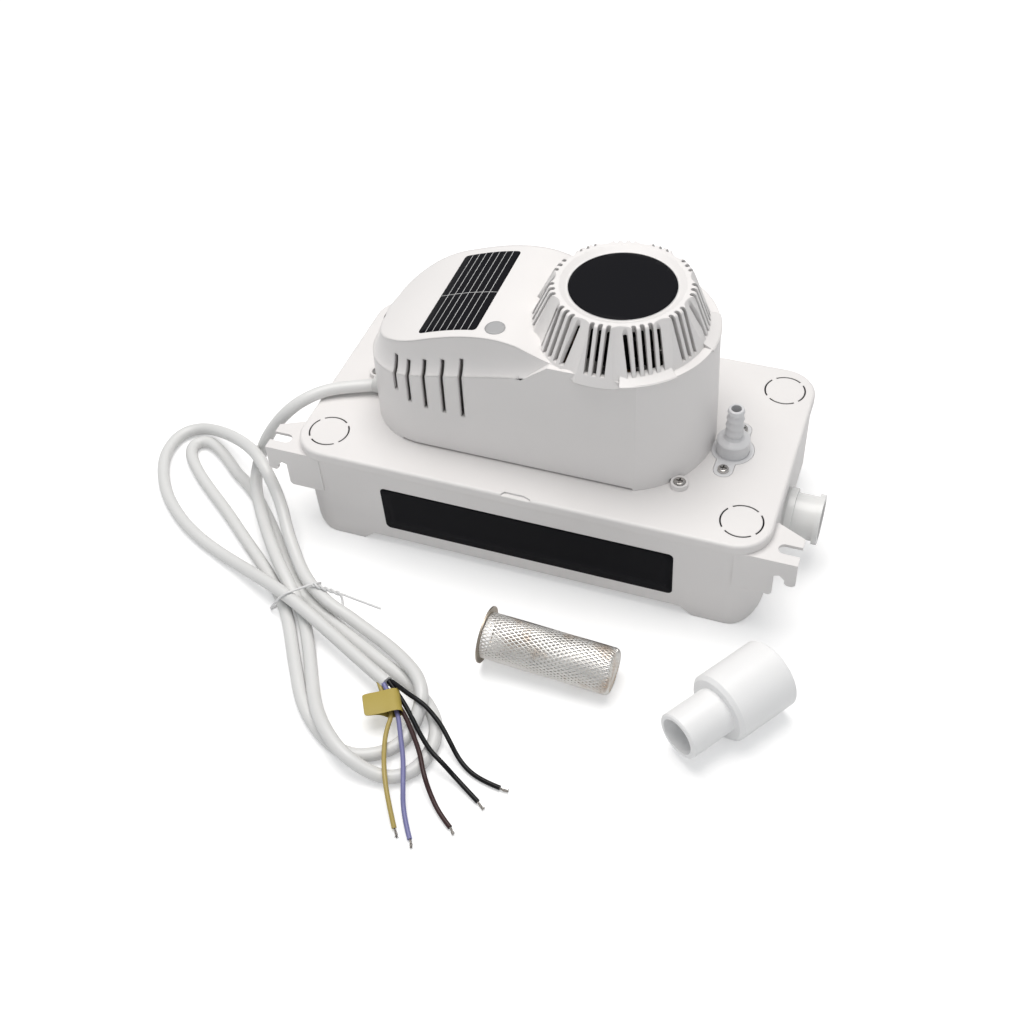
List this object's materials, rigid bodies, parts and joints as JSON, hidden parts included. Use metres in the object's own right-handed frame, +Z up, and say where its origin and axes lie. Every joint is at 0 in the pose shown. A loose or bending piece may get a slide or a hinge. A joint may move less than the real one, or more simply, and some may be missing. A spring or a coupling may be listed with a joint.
{
  "type": "condensate removal centrifugal pump",
  "caption": "Tank-type condensate pump: lidded water tank, domed motor cover with a vented cap, barbed outlet, side inlet, coiled supply cable, loose strainer and pipe adapter.",
  "frame": {"origin": "on the floor under the middle of the tank's plan", "axes": "+X along the tank towards the inlet end, +Y from the labelled front to the back, +Z up"},
  "size_m": [0.4316, 0.3347, 0.1695],
  "materials": {
    "tank_plastic": "satin",
    "cover_plastic": "fine satin grain",
    "grey_plastic": "satin",
    "inlet_plastic": "glossy",
    "adapter_plastic": "satin",
    "inner_plastic": "satin",
    "switch_plastic": "satin",
    "coil": "taped winding",
    "lamination": "varnished laminations",
    "steel": "bright zinc",
    "aluminium": "cast",
    "bronze": "sintered",
    "seal_rubber": "matt",
    "grey_rubber": "matt",
    "sheath": "soft satin",
    "core_yellow": "satin",
    "core_violet": "satin",
    "core_brown": "satin",
    "core_black": "satin",
    "copper_tin": "tinned strands",
    "tag_film": "film",
    "tie_film": "paper covered wire",
    "mesh_steel": "expanded mesh"
  },
  "bodies": {
    "housing": {"tank": "tank_plastic", "ear_right": "tank_plastic", "ear_left": "tank_plastic", "tank_lid": "cover_plastic", "lid_seal": "seal_rubber", "motor_cover": "cover_plastic", "cover_screws": "steel", "discharge_barb": "grey_plastic", "valve_retainer": "grey_plastic", "valve_screws": "steel", "check_valve_body": "inner_plastic", "inlet_fitting": "inlet_plastic", "inlet_seal": "seal_rubber", "inlet_nut": "inlet_plastic", "motor_posts": "inner_plastic", "stator_stack": "lamination", "motor_coil": "coil", "lower_strap": "steel", "upper_strap": "steel", "lower_bearing": "bronze", "upper_bearing": "bronze", "motor_screws": "steel", "pump_column": "inner_plastic", "volute": "inner_plastic", "intake_plate": "inner_plastic", "discharge_tube": "inner_plastic", "pivot_bracket": "inner_plastic", "pivot_pin": "steel", "switch_bracket": "steel", "run_switch": "switch_plastic", "alarm_switch": "switch_plastic", "cable_gland": "grey_rubber", "cable_lead": "sheath", "cable_hank": "sheath", "cable_tail": "sheath", "core_tips": "copper_tin", "cable_tag": "tag_film", "cable_tie": "tie_film", "core_yellow": "core_yellow", "core_violet": "core_violet", "core_brown": "core_brown", "core_black_short": "core_black", "core_black_long": "core_black"},
    "spindle": {"rotor": "aluminium", "shaft": "steel", "cooling_fan": "switch_plastic", "slinger": "seal_rubber", "impeller": "inner_plastic"},
    "float_unit": {"float_arm": "inner_plastic", "float": "inner_plastic"},
    "run_arm": {"run_lever": "steel"},
    "alarm_arm": {"alarm_lever": "steel"},
    "valve_ball": {"check_valve_ball": "seal_rubber"},
    "strainer": {"strainer_basket": "mesh_steel", "strainer_flange": "mesh_steel"},
    "adapter": {"reducer": "adapter_plastic"}
  },
  "joints": [
    {"name": "spindle_turn", "type": "hinge", "parent": "housing", "child": "spindle", "pos_m": [0.0388, 0, 0.1], "axis": [0, 0, 1], "continuous": true},
    {"name": "float_swing", "type": "hinge", "parent": "housing", "child": "float_unit", "pos_m": [-0.038, 0, 0.058], "axis": [0, 1, 0], "range_deg": [0, 20]},
    {"name": "run_lever_swing", "type": "hinge", "parent": "housing", "child": "run_arm", "pos_m": [-0.022, 0.00595, 0.0741], "axis": [0, 1, 0], "range_deg": [0, 7.7]},
    {"name": "alarm_lever_swing", "type": "hinge", "parent": "housing", "child": "alarm_arm", "pos_m": [-0.022, -0.00595, 0.0741], "axis": [0, 1, 0], "range_deg": [0, 7.7]},
    {"name": "ball_lift", "type": "slide", "parent": "housing", "child": "valve_ball", "axis": [0, 0, 1], "range_m": [0, 0.003]},
    {"name": "strainer_lift", "type": "slide", "parent": "housing", "child": "strainer", "axis": [0, 0, 1], "range_m": [0, 0.1]},
    {"name": "adapter_lift", "type": "slide", "parent": "housing", "child": "adapter", "axis": [0, 0, 1], "range_m": [0, 0.1]}
  ],
  "couplings": [
    {"joint": "run_lever_swing", "follows": "float_swing", "ratio": 0.38},
    {"joint": "alarm_lever_swing", "follows": "float_swing", "ratio": 0.38}
  ]
}
